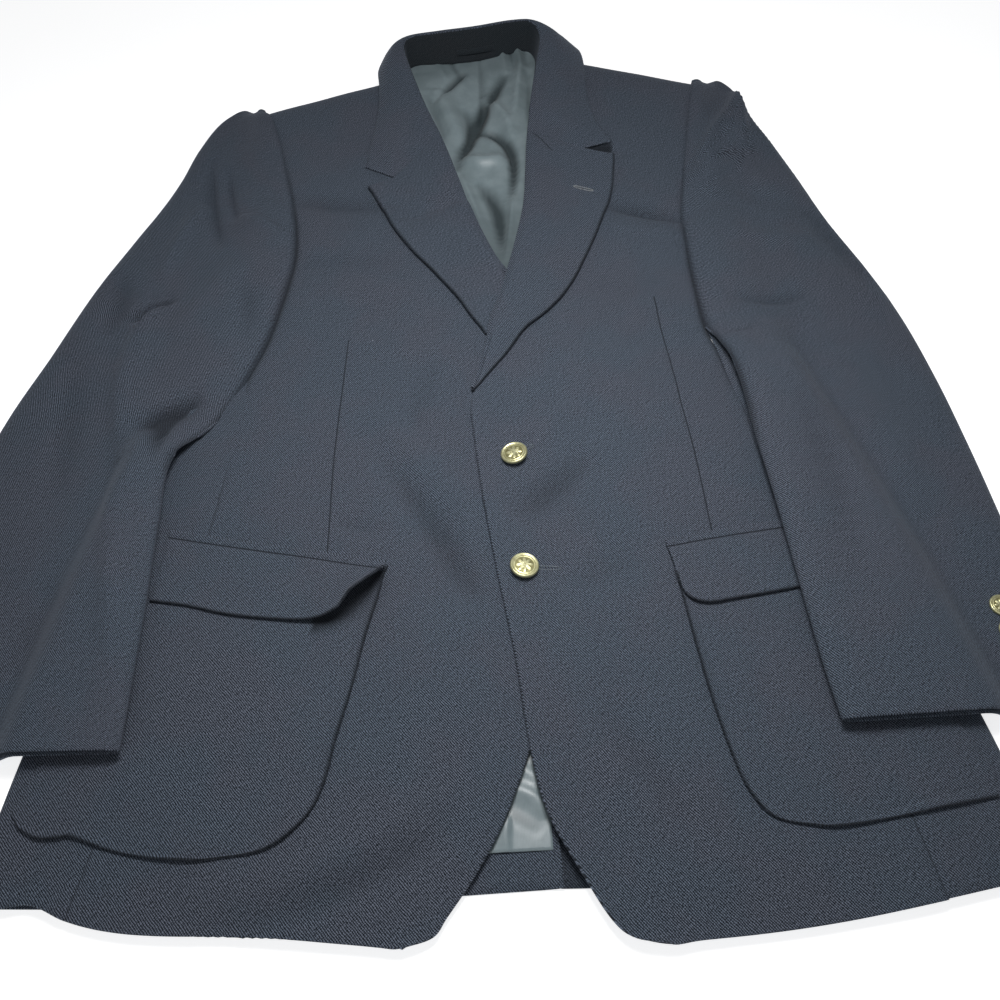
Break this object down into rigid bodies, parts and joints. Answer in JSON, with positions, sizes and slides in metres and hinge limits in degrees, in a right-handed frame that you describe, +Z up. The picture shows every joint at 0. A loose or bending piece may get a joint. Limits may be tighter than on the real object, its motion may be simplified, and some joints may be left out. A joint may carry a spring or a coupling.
{
  "type": "blazer",
  "caption": "Single-breasted tailored jacket laid flat on its back: notch lapels, standing collar, flapped patch pockets, metal buttons, sleeves at its sides.",
  "frame": {"origin": "middle of the laid garment's footprint, on the surface it lies on", "axes": "+Z up off the surface, +Y from the hem to the collar, +X to the right seen from the hem"},
  "size_m": [0.775, 0.9015, 0.0561],
  "materials": {
    "wool": "navy wool twill, matt",
    "lining": "blue-grey satin lining, soft sheen",
    "button": "pale gold polished metal"
  },
  "bodies": {
    "root": {"back_left": "wool", "back_right": "wool", "side_body_left": "wool", "side_body_right": "wool", "front_left": "wool", "front_right": "wool", "lapel_left": "wool", "lapel_right": "wool", "collar_fall": "wool", "collar_stand": "wool", "hanger_loop": "wool", "top_sleeve_left": "wool", "top_sleeve_right": "wool", "under_sleeve_left": "wool", "under_sleeve_right": "wool", "patch_pocket_left": "wool", "patch_pocket_right": "wool", "flap_left": "wool", "flap_right": "wool", "breast_welt": "wool", "neck_lining": "lining", "hem_lining": "lining", "front_button_upper": "button", "front_button_lower": "button", "sleeve_button_left_1": "button", "sleeve_button_left_2": "button", "sleeve_button_left_3": "button", "sleeve_button_right_1": "button", "sleeve_button_right_2": "button", "sleeve_button_right_3": "button"}
  },
  "joints": []
}
